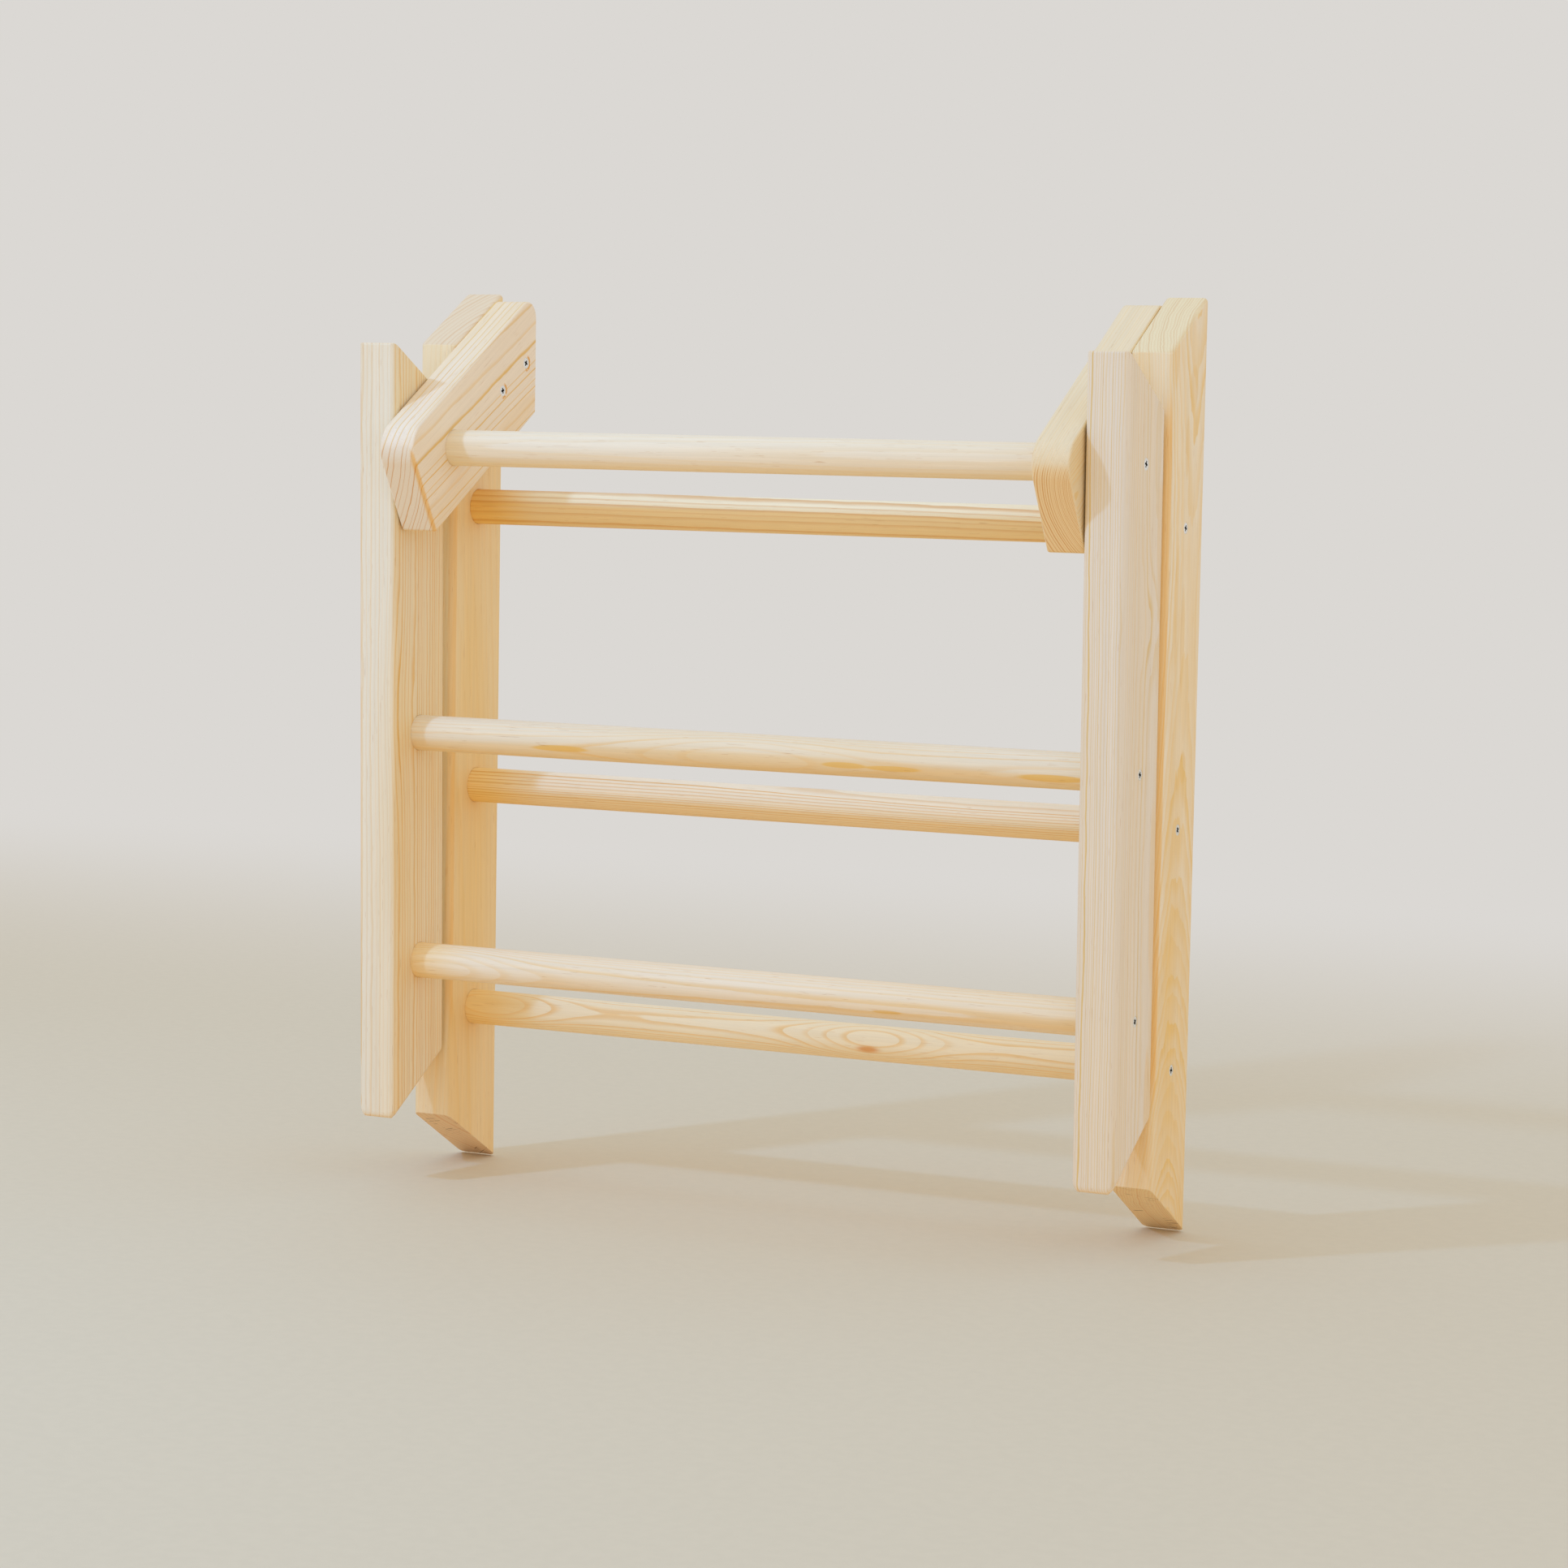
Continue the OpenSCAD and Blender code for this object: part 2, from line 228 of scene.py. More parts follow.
def upright(name, low, high, place, low_ease=END_EASE, high_ease=END_EASE, steps=6):
    """An upright with eased long edges, whose ends follow low(y) and high(y) and are eased too."""
    half = half_section(UPRIGHT_T, UPRIGHT_W, UPRIGHT_EASE)
    around = 2 * len(half)
    rings = [(low, 1, turn, low_ease) for turn in quarter(steps)]
    rings += [(high, -1, turn, high_ease) for turn in reversed(quarter(steps))]
    verts = []
    for end, way, turn, (narrow, wide) in rings:
        inset, short = 1 - math.sin(turn), 1 - math.cos(turn)
        right = []
        for x, y, nx, ny in half:
            ease = narrow + (wide - narrow) * nx
            y -= ny * ease * inset
            right.append((x - nx * ease * inset, y, end(y) + way * ease * short))
        verts += right + [(-x, y, z) for x, y, z in reversed(right)]
    faces = wrapped(len(rings), around)
    for base in (0, (len(rings) - 1) * around):
        last = base + around - 1
        faces += [(base + k, base + k + 1, last - 1 - k, last - k) for k in range(len(half) - 1)]
    return piece(name, verts, faces, place)


def rounded(corners, steps=10):
    """An outline with round corners, from (point, radius) pairs.

    It gives each point with its outward direction.
    """
    out = []
    for i, (corner, radius) in enumerate(corners):
        before = (corners[i - 1][0] - corner).normalized()
        after = (corners[(i + 1) % len(corners)][0] - corner).normalized()
        half = before.angle(after) / 2
        inward = (before + after).normalized()
        centre = corner + inward * radius / math.sin(half)
        sweep = math.pi / 2 - half
        for k in range(steps + 1):
            turn = Matrix.Rotation(-sweep + 2 * sweep * k / steps, 2)
            away = turn @ -inward
            out.append((centre + away * radius, away))
    return out


def link_outline():
    """A link board's side view in its grain frame: y down across the slope, z along it."""
    half = LINK_W / 2
    slip = half * math.tan(LINK_SLOPE)
    back = REAR_BACK / math.cos(LINK_SLOPE)
    return rounded(
        [
            (Vector((half, -LINK_NOSE)), LINK_CHIN_R),
            (Vector((half, back - slip)), LINK_TAIL_R),
            (Vector((-half, back + slip)), LINK_REAR_R),
            (Vector((-half, -LINK_NOSE)), LINK_NOSE_R),
        ]
    )


def link_board(name, place, steps=5):
    """A link board: its side view with the arris eased all round."""
    outline = link_outline()
    around = len(outline)
    rings = [(-1, turn) for turn in quarter(steps)]
    rings += [(1, turn) for turn in reversed(quarter(steps))]
    verts = []
    for side, turn in rings:
        inset, short = LINK_EASE * (1 - math.sin(turn)), LINK_EASE * (1 - math.cos(turn))
        x = side * (LINK_T / 2 - short)
        verts += [(x, *(point - away * inset)) for point, away in outline]
    caps = [tuple(range(around)), tuple(range(len(verts) - around, len(verts)))]
    return piece(name, verts, caps + wrapped(len(rings), around), place)


# ---------------------------------------------------------------- holes, rungs and metal


def socket_cutter(place):
    """The blind hole that a rung's end lies in."""
    outline = [
        (0, -CUT),
        (SOCKET_R + SOCKET_EASE + CUT, -CUT),
        (SOCKET_R, SOCKET_EASE),
        (SOCKET_R, SOCKET_DEPTH),
        (0, SOCKET_DEPTH),
    ]
    return lathe("socket", outline, place, RUNG_SIDES)


def screw_cutter(size, place):
    """The countersunk hole that a screw lies in."""
    head, shank = size["head"] + SCREW_PLAY, size["shank"] + SCREW_PLAY
    taper = size["head"] - size["shank"]
    bottom = size["length"] + CUT
    outline = [(0, -CUT), (head, -CUT), (head, SINK)]
    outline += [(shank, taper + SINK), (shank, bottom), (0, bottom)]
    return lathe("hole", outline, place, HOLE_SIDES)


def rung(name, length, place, bite, shank):
    """A rung with eased ends and a pilot hole in each end."""
    half = length / 2
    deep = half - bite
    side = [(RUNG_R, -half + RUNG_END_EASE), (RUNG_R, half - RUNG_END_EASE)]
    top = [(RUNG_R - RUNG_END_EASE, half), (shank, half), (shank, deep), (0, deep)]
    outline = [(r, -z) for r, z in reversed(top)] + side + top
    return lathe(name, outline, place, RUNG_SIDES)


def screw(size, turn, place):
    """A countersunk screw: a head with a cross recess, a plain neck and a thread."""
    head, shank, length = size["head"], size["shank"], size["length"]
    taper = head - shank
    neck = length * NECK_SHARE
    outline = [(0, 0), (head - HEAD_RIM, 0), (head, HEAD_RIM)]
    outline += [(shank, taper + HEAD_RIM), (shank, neck)]
    z = neck
    while z < length - POINT_L:
        z += THREAD_PITCH / THREAD_STEPS
        outline.append((shank, z))
    outline += [(shank * POINT_SHARE, length - POINT_L / 2), (0, length)]
    obj = lathe("screw", outline, Matrix(), SCREW_SIDES)
    for v in obj.data.vertices:
        if neck < v.co.z < length - POINT_L:
            phase = (v.co.z / THREAD_PITCH - math.atan2(v.co.y, v.co.x) / math.tau) % 1
            flank = max(0, 1 - abs(2 * phase - 1) * THREAD_SLOPE)
            grow = 1 - (1 - flank) * THREAD_DEPTH / shank
            v.co.x *= grow
            v.co.y *= grow
    for arm in (0, math.pi / 2):
        drilled(obj, cross_cutter(head, Matrix.Rotation(turn + arm, 4, "Z")))
    # Faces inside the cross recess get the dark steel: painted shade
    floor = min(taper, RECESS_DEPTH + HAIR)
    for face in obj.data.polygons:
        inside = face.center.xy.length < head * RECESS_SHARE and HAIR < face.center.z < floor
        face.material_index = 1 if inside else 0
    obj.data.transform(place)
    return obj


def cross_cutter(head, place):
    """One arm of the cross recess: a blade that narrows as it goes down."""
    verts = []
    for z, (wide, thick) in ((-CUT, RECESS_TOP), (RECESS_DEPTH, RECESS_BOTTOM)):
        half_w, half_t = head * wide, RECESS_ARM * thick
        verts += [(-half_w, -half_t, z), (half_w, -half_t, z)]
        verts += [(half_w, half_t, z), (-half_w, half_t, z)]
    faces = [(0, 1, 2, 3), (4, 5, 6, 7), (0, 1, 5, 4), (1, 2, 6, 5), (2, 3, 7, 6), (3, 0, 4, 7)]
    return piece("recess", verts, faces, place)


def washer(name, place):
    """A flat washer with eased rims."""
    bore, bore_wide = RING_BORE_R, RING_BORE_R + RING_EASE
    rim, rim_narrow = RING_R, RING_R - RING_EASE
    high, low = RING_T - RING_EASE, RING_EASE
    outline = [(rim_narrow, 0), (rim, low), (rim, high), (rim_narrow, RING_T)]
    outline += [(bore_wide, RING_T), (bore, high), (bore, low), (bore_wide, 0)]
    return lathe(name, outline, place, RING_SIDES, closed=True)


def joined(name, parts):
    """One object out of several."""
    first = parts[0]
    work = bmesh.new()
    for part in parts:
        work.from_mesh(part.data)
    work.to_mesh(first.data)
    work.free()
    for part in parts[1:]:
        bpy.data.objects.remove(part)
    first.name = name
    return first


# ---------------------------------------------------------------- node helper


class Graph:
    """Short calls for the shader nodes of one material or world."""

    def __init__(self, tree):
        self.tree = tree
        tree.nodes.clear()

    def add(self, kind, outlet=0, inputs=None, **settings):
        node = self.tree.nodes.new(kind)
        for key, value in settings.items():
            setattr(node, key, value)
        for key, value in (inputs or {}).items():
            self.feed(node.inputs[key], value)
        return node.outputs[outlet]

    def feed(self, socket, value):
        """Links or sets an input. None leaves it as it is."""
        if isinstance(value, bpy.types.NodeSocket):
            self.tree.links.new(value, socket)
        elif value is not None:
            socket.default_value = value

    def finish(self, shader, kind="ShaderNodeOutputMaterial"):
        self.feed(self.tree.nodes.new(kind).inputs[0], shader)

    def coords(self):
        return self.tree.nodes.new("ShaderNodeTexCoord").outputs

    def rays(self):
        return self.tree.nodes.new("ShaderNodeLightPath").outputs

    def math(self, operation, a, b=None):
        return self.add("ShaderNodeMath", inputs={0: a, 1: b}, operation=operation)

    def plus(self, a, b):
        return self.math("ADD", a, b)

    def times(self, a, b):
        return self.math("MULTIPLY", a, b)

    def apart(self, a, b):
        """How far a value is from a number."""
        return self.math("ABSOLUTE", self.plus(a, -b))

    def centred(self, noise):
        """A noise as a number about zero."""
        return self.plus(noise, -0.5)

    def step(self, value, low, high, start=0.0, end=1.0):
        """A smooth change from start to end, as the value goes from low to high."""
        ranges = {"Value": value, "From Min": low, "From Max": high, "To Min": start, "To Max": end}
        return self.add("ShaderNodeMapRange", inputs=ranges, interpolation_type="SMOOTHSTEP")

    def vector(self, operation, a, b, outlet=0):
        return self.add("ShaderNodeVectorMath", outlet, {0: a, 1: b}, operation=operation)

    def length(self, vector):
        return self.add("ShaderNodeVectorMath", "Value", {0: vector}, operation="LENGTH")

    def lit(self, colour, factor):
        """A colour made lighter or darker by a factor."""
        inputs = {0: colour, "Scale": factor}
        return self.add("ShaderNodeVectorMath", inputs=inputs, operation="SCALE")

    def noise(self, vector, factors, detail=2.0, rough=0.5, outlet=0):
        spread = self.vector("MULTIPLY", vector, factors)
        inputs = {"Vector": spread, "Scale": 1.0, "Detail": detail, "Roughness": rough}
        return self.add("ShaderNodeTexNoise", outlet, inputs)

    def noise_1d(self, value, detail=1.0):
        inputs = {"W": value, "Scale": 1.0, "Detail": detail}
        return self.add("ShaderNodeTexNoise", 0, inputs, noise_dimensions="1D")

    def bump(self, height, strength, depth):
        inputs = {"Strength": strength, "Distance": depth, "Height": height}
        return self.add("ShaderNodeBump", inputs=inputs)

    def surface(self, colour, rough, bump=None, metal=None, sheen=None):
        inputs = {"Base Color": colour, "Roughness": rough, "Normal": bump}
        inputs.update({"Metallic": metal, "Specular IOR Level": sheen})
        return self.add("ShaderNodeBsdfPrincipled", inputs=inputs)

    def split(self, vector):
        node = self.tree.nodes.new("ShaderNodeSeparateXYZ")
        self.feed(node.inputs[0], vector)
        return node.outputs

    def mix(self, amount, a, b):
        node = self.tree.nodes.new("ShaderNodeMix")
        node.data_type = "RGBA"
        self.feed(node.inputs[0], amount)
        self.feed(node.inputs[6], a)
        self.feed(node.inputs[7], b)
        return node.outputs[2]


def new_material(name):
    mat = bpy.data.materials.new(name)
    mat.use_nodes = True
    return mat, Graph(mat.node_tree)


def srgb(red, green, blue):
    """A colour given by its 0 to 255 display values."""
    channels = [c / 255 for c in (red, green, blue)]
    return (*[c / 12.92 if c <= 0.04045 else ((c + 0.055) / 1.055) ** 2.4 for c in channels], 1.0)


# ---------------------------------------------------------------- wood


SAP, HEART, LATE = srgb(238, 227, 207), srgb(236, 206, 152), srgb(233, 189, 94)
PALE, END_SAP, END_LATE = srgb(243, 237, 222), srgb(234, 220, 200), srgb(208, 150, 84)
RESIN, KNOT, CRACK = srgb(190, 136, 76), srgb(220, 150, 72), srgb(98, 68, 42)
# The first colour is painted shade: the warm colour of a rung's end where the left uprights cast
# their shadow
SHADED_END_COLOUR, CRESCENT_TINT = srgb(247, 208, 116), srgb(222, 160, 68)
BOUNCE_TINT = (1.12, 1.02, 0.6)  # painted warm bounce light: to bounced rays the wood looks warmer and redder than it is
ARRIS_WARMING = (1.0, 0.68, 0.24)  # what a warm band along an arris does to a colour: darker and warmer

# How often the noises change per metre: twice across the grain, then along it
FIBRES, STREAKS, DRIFTS, WANDER = (1400, 1400, 22), (260, 260, 3.5), (16, 16, 2.2), (7, 7, 1.7)
RIPPLES, FINE_RIPPLES = (55, 55, 4), (70, 70, 26)
RESIN_DOTS, PORES = (1300, 1300, 50), (2600, 2600, 900)
CRESCENT_GAPS, CRACK_GAPS = (300, 300, 300), (60, 60, 20)
SEED_SHIFT = (1.0, 0.37, 0.73)

# The range that a noise mostly stays in, and how light it makes the wood at both its ends
NOISE_RANGE, PORE_RANGE = (0.25, 0.75), (0.3, 0.7)
FIBRE_SHADE, STREAK_SHADE, PORE_SHADE = (0.965, 1.025), (0.97, 1.02), (0.95, 1.04)

# Growth rings: how unevenly they follow each other, how they ripple, where in a ring the late
# wood is full, has ended and begins to end, and its strength in the faintest and darkest ring
UNEVEN_PACE, UNEVEN, RIPPLE, FINE_RIPPLE = 0.35, 1.3, 0.3, 0.25
LATE_FULL, LATE_END, RING_STRENGTH = 0.92, (1.0, 0.95), (0.45, 1.15)

# Marks: the noise values or the lengths at which each begins and is full, and its own measures
WIDE_FACE, DRIFT_EDGE = (0.3, 0.95), (0.35, 0.7)
HEART_WAVE, HEART_RIM = 8 * MM, 1.2 * MM
RESIN_EDGE, RESIN_STRENGTH = (0.70, 0.76), 0.4
FIGURE_EDGE, FIGURE_RAGGED, END_SHADE_RAGGED = (0.4, 0.65), 0.3, 0.05
KNOT_EDGE, KNOT_STRETCH = (0.1, 0.9), 3.5
CRESCENT_INNER, CRESCENT_OUTER, CRESCENT_SIDE = (5 * MM, 5.6 * MM), (8.5 * MM, 6.5 * MM), (-1 * MM, 4 * MM)
CRESCENT_BREAKS = (0.32, 0.48)
CRACK_PACE, CRACK_EDGE, CRACK_PATCHES, CRACK_REACH = 40, (0.01, 0.003), (0.5, 0.58), (0.2, 0.1)
ARRIS_BLUR, ARRIS_FADE = 3 * MM, 50 * MM
WEAR_X, WEAR_Y, WEAR_FIBRES, WEAR_STRENGTH = 0.86, 0.94, (0.35, 0.65), 0.3

# Surface: the heights of fibres, late wood and sawn pores, and how rough faces and ends are
FIBRE_HEIGHT, LATE_HEIGHT, PORE_HEIGHT, BUMP, BUMP_DEPTH = 0.5, 0.6, 0.8, 0.3, 0.2 * MM
ROUGH_RANGE, FACE_ROUGH, END_ROUGHER, OIL_SHEEN = (0.2, 0.8), (0.52, 0.66), 0.12, 0.35

# How a piece was cut from its trunk (metres, except "ring" and "wander" in millimetres)
WOOD = {
    "pith": (-0.09, 0.01),  # where the trunk's centre passes z = 0
    "tilt": (0.006, 0.004),  # how far it strays per metre
    "sweep": (0.0, 0.0),  # and per square metre
    "wander": 5.0,  # how far it winds about its line
    "ring": 3.2,  # the usual ring width
    "crowding": 1.0,  # over 1, the rings get narrower away from the pith
    "ripple": 1.0,
    "contrast": 0.4,
    "narrow": 1.0,  # the share of the contrast that the narrow faces keep
    "dark_from": 0.42,  # where in a ring its late wood begins
    "sap": SAP,
    "late": LATE,
    "heart_r": 0.0,  # radius of the warmer heartwood, also used for painted shade on rung undersides
    "heart": 0.6,
    "honey": 0.3,  # warm drifts along the grain
    "wide_face_shading": 0.0,  # painted shade: more of that warmth on the wide faces, painted light where it is negative
    "end": END_SAP,
    "end_contrast": 0.35,
    "end_from": (0.25, 0.5),  # how squarely a face must cross the grain to look like an end
    "swells": [],  # places where the rings bulge: (x, y, z), across, along, rings
    "knots": [],  # small knots: (x, y, z), radius, strength
    "figures": [],  # warm ovals: (x, y, z), across, along, strength
    "end_shade": SHADED_END_COLOUR,
    "shaded_ends": [],  # painted shade towards a rung's end: where along the grain it is full, where it ends, strength
    "arrises": [],  # warm bands along arrises: axis across, place on it, the arris's x, reach, strength, z span
    "screw_crescents": [],  # ochre crescents beside screws, by their z
    "checks": 0.0,  # how strong the drying cracks of the lower end are
    "half": None,  # half thickness and width of a board with worn edges
    "seed": 0.0,
}


def pine(name, place, **changes):
    """Planed pine, cut from a trunk whose centre line is given in the piece's own frame."""
    look = {**WOOD, **changes}
    mat, g = new_material(name)
    at = grain_sockets(g, look, place)

    colour = g.mix(at.end, side_colour(g, look, at), end_colour(g, look, at))
    if look["half"]:
        colour = g.mix(edge_wear(g, at, look["half"]), colour, SAP)
    # Warm bands along arrises; on the rear uprights they are painted shade in the gap behind the
    # front frame
    for arris in look["arrises"]:
        colour = g.mix(warm_arris_band(g, at, *arris), colour, g.vector("MULTIPLY", colour, ARRIS_WARMING))
    # Painted warm light: rays bounced off the wood see a warmer, brighter colour, and that lights
    # the shade between the pieces
    bounced = g.rays()["Is Diffuse Ray"]
    colour = g.mix(bounced, colour, g.vector("MULTIPLY", colour, BOUNCE_TINT))

    height = g.plus(g.times(at.fibre, FIBRE_HEIGHT), g.times(at.late, LATE_HEIGHT))
    height = g.plus(height, g.times(g.times(at.pores, at.end), PORE_HEIGHT))
    rough = g.step(at.fibre, *ROUGH_RANGE, *FACE_ROUGH)
    rough = g.plus(rough, g.times(at.end, END_ROUGHER))
    bump = g.bump(height, BUMP, BUMP_DEPTH)
    g.finish(g.surface(colour, rough, bump, sheen=OIL_SHEEN))
    return mat


def grain_sockets(g, look, place):
    """What the material knows at a point: where it lies in the grain frame, and its wood there."""
    coords, turn = g.coords(), place.to_euler()
    back = {"Vector": coords["Object"], "Location": place.translation, "Rotation": turn}
    spot = g.add("ShaderNodeMapping", inputs=back, vector_type="TEXTURE")
    back = {"Vector": coords["Normal"], "Rotation": turn}
    facing = g.split(g.add("ShaderNodeMapping", inputs=back, vector_type="TEXTURE"))
    grain = g.vector("ADD", spot, [look["seed"] * share for share in SEED_SHIFT])
    x, y, z = g.split(spot)

    at = SimpleNamespace(spot=spot, grain=grain, x=x, y=y, z=z)
    at.end = g.step(g.math("ABSOLUTE", facing[2]), *look["end_from"])
    at.wide = g.step(g.math("ABSOLUTE", facing[0]), *WIDE_FACE)
    at.offset, at.radius = from_pith(g, look, at)
    at.late = late_wood(g, look, at)
    at.fibre = g.noise(grain, FIBRES, detail=3.0, rough=0.6)
    at.streak = g.noise(grain, STREAKS)
    at.drift = g.noise(grain, DRIFTS)
    at.pores = g.noise(grain, PORES)
    return at


def from_pith(g, look, at):
    """The offset and distance of a point from the trunk's centre line, which wanders."""
    wander = g.split(g.noise(at.grain, WANDER, detail=1.5, outlet=1))
    offset = []
    for axis, coord in enumerate((at.x, at.y)):
        slope = g.plus(g.times(at.z, look["sweep"][axis]), look["tilt"][axis])
        line = g.plus(g.times(at.z, slope), look["pith"][axis])
        bend = g.times(g.centred(wander[axis]), look["wander"] * 2 * MM)
        offset.append(g.math("SUBTRACT", coord, g.plus(line, bend)))
    both = g.add("ShaderNodeCombineXYZ", inputs={0: offset[0], 1: offset[1]})
    return offset, g.length(both)


def late_wood(g, look, at):
    """How much dark late wood there is at a point: each ring darkens slowly and ends at once."""
    usual = math.hypot(*look["pith"])
    crowding = look["crowding"]
    share = g.math("POWER", g.times(at.radius, 1 / usual), crowding)
    count = g.times(share, usual / (look["ring"] * MM * crowding))
    uneven = g.times(g.noise_1d(g.plus(g.times(count, UNEVEN_PACE), look["seed"])), UNEVEN)
    ripple = g.times(g.noise(at.grain, RIPPLES), RIPPLE)
    ripple = g.plus(ripple, g.times(g.noise(at.grain, FINE_RIPPLES), FINE_RIPPLE))
    phase = g.plus(g.plus(count, uneven), g.times(ripple, look["ripple"]))
    for swell in look["swells"]:
        phase = g.plus(phase, hump(g, at, *swell))
    ring = g.math("FLOOR", phase)
    part = g.math("SUBTRACT", phase, ring)
    late = g.times(g.step(part, look["dark_from"], LATE_FULL), g.step(part, *LATE_END))
    pick = g.add("ShaderNodeTexWhiteNoise", 0, {"W": ring}, noise_dimensions="1D")
    return g.times(late, g.step(pick, 0.0, 1.0, *RING_STRENGTH))


def hump(g, at, centre, across, along, height=1.0):
    """A smooth hump round a point, longer along the grain."""
    gap = g.vector("SUBTRACT", at.spot, centre)
    gap = g.vector("MULTIPLY", gap, (1 / across, 1 / across, 1 / along))
    square = g.vector("DOT_PRODUCT", gap, gap, "Value")
    return g.times(g.math("EXPONENT", g.times(square, -0.5)), height)


def side_colour(g, look, at):
    """The colour along the grain."""
    # Painted shade on the wide faces: they get warmer than the narrow ones, by which way a face
    # points
    warm = g.plus(warm_wood(g, look, at), g.times(at.wide, look["wide_face_shading"]))
    side = g.mix(g.math("MINIMUM", warm, 1.0), look["sap"], HEART)
    uneven = g.centred(at.streak)
    # Painted shade: a rung's end turns warmer where the left uprights shade it
    for full, none, strength in look["shaded_ends"]:
        ragged = g.plus(at.z, g.times(uneven, END_SHADE_RAGGED))
        side = g.mix(g.step(ragged, none, full, 0.0, strength), side, look["end_shade"])
    for centre, across, along, strength in look["figures"]:
        ragged = g.plus(hump(g, at, centre, across, along), g.times(uneven, FIGURE_RAGGED))
        side = g.mix(g.step(ragged, *FIGURE_EDGE, 0.0, strength), side, LATE)

    contrast = g.step(at.wide, 0.0, 1.0, look["contrast"] * look["narrow"], look["contrast"])
    side = g.mix(g.times(at.late, contrast), side, look["late"])
    dots = g.noise(at.grain, RESIN_DOTS, detail=1.0)
    side = g.mix(g.step(dots, *RESIN_EDGE, 0.0, RESIN_STRENGTH), side, RESIN)
    side = g.lit(side, g.step(at.fibre, *NOISE_RANGE, *FIBRE_SHADE))
    side = g.lit(side, g.step(at.streak, *NOISE_RANGE, *STREAK_SHADE))
    for centre, radius, strength in look["knots"]:
        knot = hump(g, at, centre, radius, radius * KNOT_STRETCH)
        dark = g.step(knot, *KNOT_EDGE, 0.0, strength)
        side = g.mix(dark, side, KNOT)
    for screw_z in look["screw_crescents"]:
        side = g.mix(crescent(g, at, screw_z), side, CRESCENT_TINT)
    return side


def warm_wood(g, look, at):
    """How much of the warm colour the drifts and the heartwood have."""
    warm = g.step(at.drift, *DRIFT_EDGE, 0.0, look["honey"])
    if not look["heart_r"]:
        return warm
    wavy = g.plus(at.radius, g.times(at.drift, HEART_WAVE))
    edge = look["heart_r"] + HEART_WAVE / 2
    heart = g.step(wavy, edge + HEART_RIM, edge - HEART_RIM, 0.0, look["heart"])
    return g.plus(warm, heart)


def end_colour(g, look, at):
    """The colour of the sawn ends."""
    end = g.mix(g.times(at.late, look["end_contrast"]), look["end"], END_LATE)
    end = g.lit(end, g.step(at.pores, *PORE_RANGE, *PORE_SHADE))
    if look["checks"]:
        end = g.mix(g.times(checks(g, at), look["checks"]), end, CRACK)
    return end


def checks(g, at):
    """Fine drying cracks that run out from the pith over the sawn lower end."""
    angle = g.times(g.math("ARCTAN2", at.offset[1], at.offset[0]), CRACK_PACE)
    line = g.step(g.math("ABSOLUTE", g.centred(g.noise_1d(angle))), *CRACK_EDGE)
    patchy = g.step(g.noise(at.grain, CRACK_GAPS), *CRACK_PATCHES)
    return g.times(g.times(line, patchy), g.step(at.z, *CRACK_REACH))


def crescent(g, at, screw_z):
    """An ochre crescent on the upper side of a screw head."""
    up = g.plus(at.z, -screw_z)
    radius = g.math("SQRT", g.plus(g.times(at.y, at.y), g.times(up, up)))
    band = g.times(g.step(radius, *CRESCENT_INNER), g.step(radius, *CRESCENT_OUTER))
    broken = g.step(g.noise(at.grain, CRESCENT_GAPS), *CRESCENT_BREAKS)
    return g.times(g.times(band, broken), g.step(g.plus(up, at.y), *CRESCENT_SIDE))


def warm_arris_band(g, at, axis, place, arris_x, reach, strength, span):
    """A warm, darker band on both sides of the arris between a wide face and a narrow one."""
    across = g.apart({"Y": at.y, "Z": at.z}[axis], place)
    inwards = g.math("MAXIMUM", across, g.apart(at.x, arris_x))
    ragged = g.plus(inwards, g.times(g.centred(at.fibre), ARRIS_BLUR))
    band = g.step(ragged, reach, reach - ARRIS_BLUR, 0.0, strength)
    low, high = span
    from_low = g.step(at.z, low, low + ARRIS_FADE)
    return g.times(band, g.times(from_low, g.step(at.z, high, high - ARRIS_FADE)))


def edge_wear(g, at, half):
    """Slight paleness along the eased edges, broken up by the fibres."""
    near_x = g.step(g.math("ABSOLUTE", at.x), half[0] * WEAR_X, half[0])
    near_y = g.step(g.math("ABSOLUTE", at.y), half[1] * WEAR_Y, half[1])
    worn = g.times(g.times(near_x, near_y), g.step(at.fibre, *WEAR_FIBRES))
    return g.times(worn, WEAR_STRENGTH)


# ---------------------------------------------------------------- steel


FILM, SCRATCHES = (900, 900, 900), (4000, 300, 300)
FILM_RANGE, SCRATCH_BUMP, SCRATCH_DEPTH, METALLIC = (0.3, 0.7), 0.2, 0.05 * MM, 0.75
ZINC, ZINC_ROUGH = (srgb(246, 248, 250), srgb(230, 232, 235)), (0.24, 0.4)
# The second pair is painted shade: the dark steel inside the screws' cross recess
RECESS, RECESS_ROUGH = (srgb(62, 60, 58), srgb(44, 42, 40)), (0.5, 0.7)


def steel(name, colours, roughness):
    """Zinc-plated steel with a slightly mottled film."""
    mat, g = new_material(name)
    place = g.coords()["Object"]
    film = g.noise(place, FILM, detail=3.0)
    colour = g.mix(g.step(film, *FILM_RANGE), *colours)
    scratch = g.noise(place, SCRATCHES)
    rough = g.step(scratch, *FILM_RANGE, *roughness)
    bump = g.bump(scratch, SCRATCH_BUMP, SCRATCH_DEPTH)
    g.finish(g.surface(colour, rough, bump, metal=METALLIC))
    return mat


# ---------------------------------------------------------------- the pieces' wood


FACE, LINK_FACE = UPRIGHT_T / 2, LINK_T / 2  # the wide faces' x
UPRIGHT_HALF, LINK_HALF = (FACE, UPRIGHT_W / 2), (LINK_FACE, LINK_W / 2)
GAP_REACH, GAP_TOP = 7 * MM, 0.74  # how wide a rear upright's band of painted shade along its arris is and where it ends


def gap_arris(strength, low):
    """A rear upright's arris in the gap behind the front frame, from a height upwards, given
    painted shade: warmer and darker.
    """
    return [("Y", -UPRIGHT_W / 2, FACE, GAP_REACH, strength, (low, GAP_TOP))]


